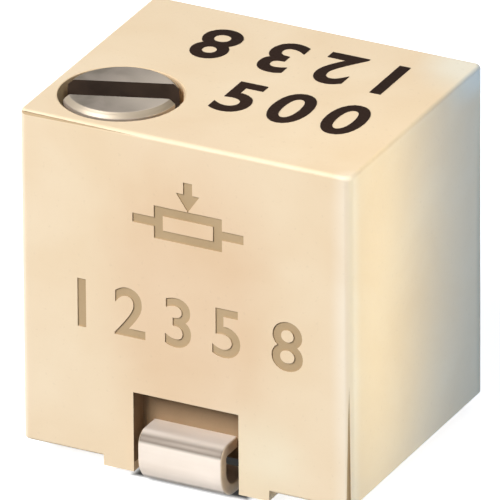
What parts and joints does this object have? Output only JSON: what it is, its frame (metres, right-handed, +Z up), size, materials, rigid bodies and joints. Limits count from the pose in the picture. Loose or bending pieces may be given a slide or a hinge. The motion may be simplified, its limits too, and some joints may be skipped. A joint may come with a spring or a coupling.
{
  "type": "trimmer potentiometer",
  "caption": "Tiny square multi-turn trimmer resistor for surface mounting: top slotted screw turns a worm gear and wiper inside, curled leads under a cream housing.",
  "frame": {"origin": "middle of the footprint over the leads, on the board plane under them", "axes": "+Z up from the board to the screw, +Y to the back where pins 1 and 3 are, -Y to the front with the notch and pin 2, +X to the right"},
  "size_m": [0.0038, 0.0032, 0.0039],
  "materials": {
    "housing_plastic": "satin cream moulding",
    "screw_metal": "plated, satin",
    "ring_rubber": "smooth",
    "clip_steel": "rolled",
    "rotor_plastic": "smooth",
    "wiper_metal": "spring sheet",
    "ceramic": "fired white ceramic, opaque",
    "resistive_film": "fired dark film, opaque",
    "silver_film": "fired silver film",
    "lead_metal": "tinned, satin",
    "solder": "satin solder",
    "resin": "cast resin"
  },
  "bodies": {
    "base": {"housing": "housing_plastic", "screw_o_ring": "ring_rubber", "screw_retainer": "clip_steel", "ceramic_element": "ceramic", "resistive_track": "resistive_film", "collector_ring": "silver_film", "end_pad_1": "silver_film", "end_pad_3": "silver_film", "terminal_1": "lead_metal", "terminal_2": "lead_metal", "terminal_3": "lead_metal", "solder_joint_1": "solder", "solder_joint_2": "solder", "solder_joint_3": "solder", "rear_cover": "housing_plastic", "epoxy_seal": "resin"},
    "screw": {"adjusting_screw": "screw_metal"},
    "rotor": {"rotor_gear": "rotor_plastic", "wiper": "wiper_metal"}
  },
  "joints": [
    {"name": "screw_turn", "type": "hinge", "parent": "base", "child": "screw", "pos_m": [-0.00109, -0.00073, 0.0023], "axis": [0, 0, 1], "range_deg": [-2160, 2160]},
    {"name": "rotor_turn", "type": "hinge", "parent": "base", "child": "rotor", "pos_m": [0.00032, -0.00073, 0.00185], "axis": [0, 1, 0], "range_deg": [-144.5, 144.5]}
  ],
  "couplings": [
    {"joint": "rotor_turn", "follows": "screw_turn", "ratio": -0.066667}
  ]
}
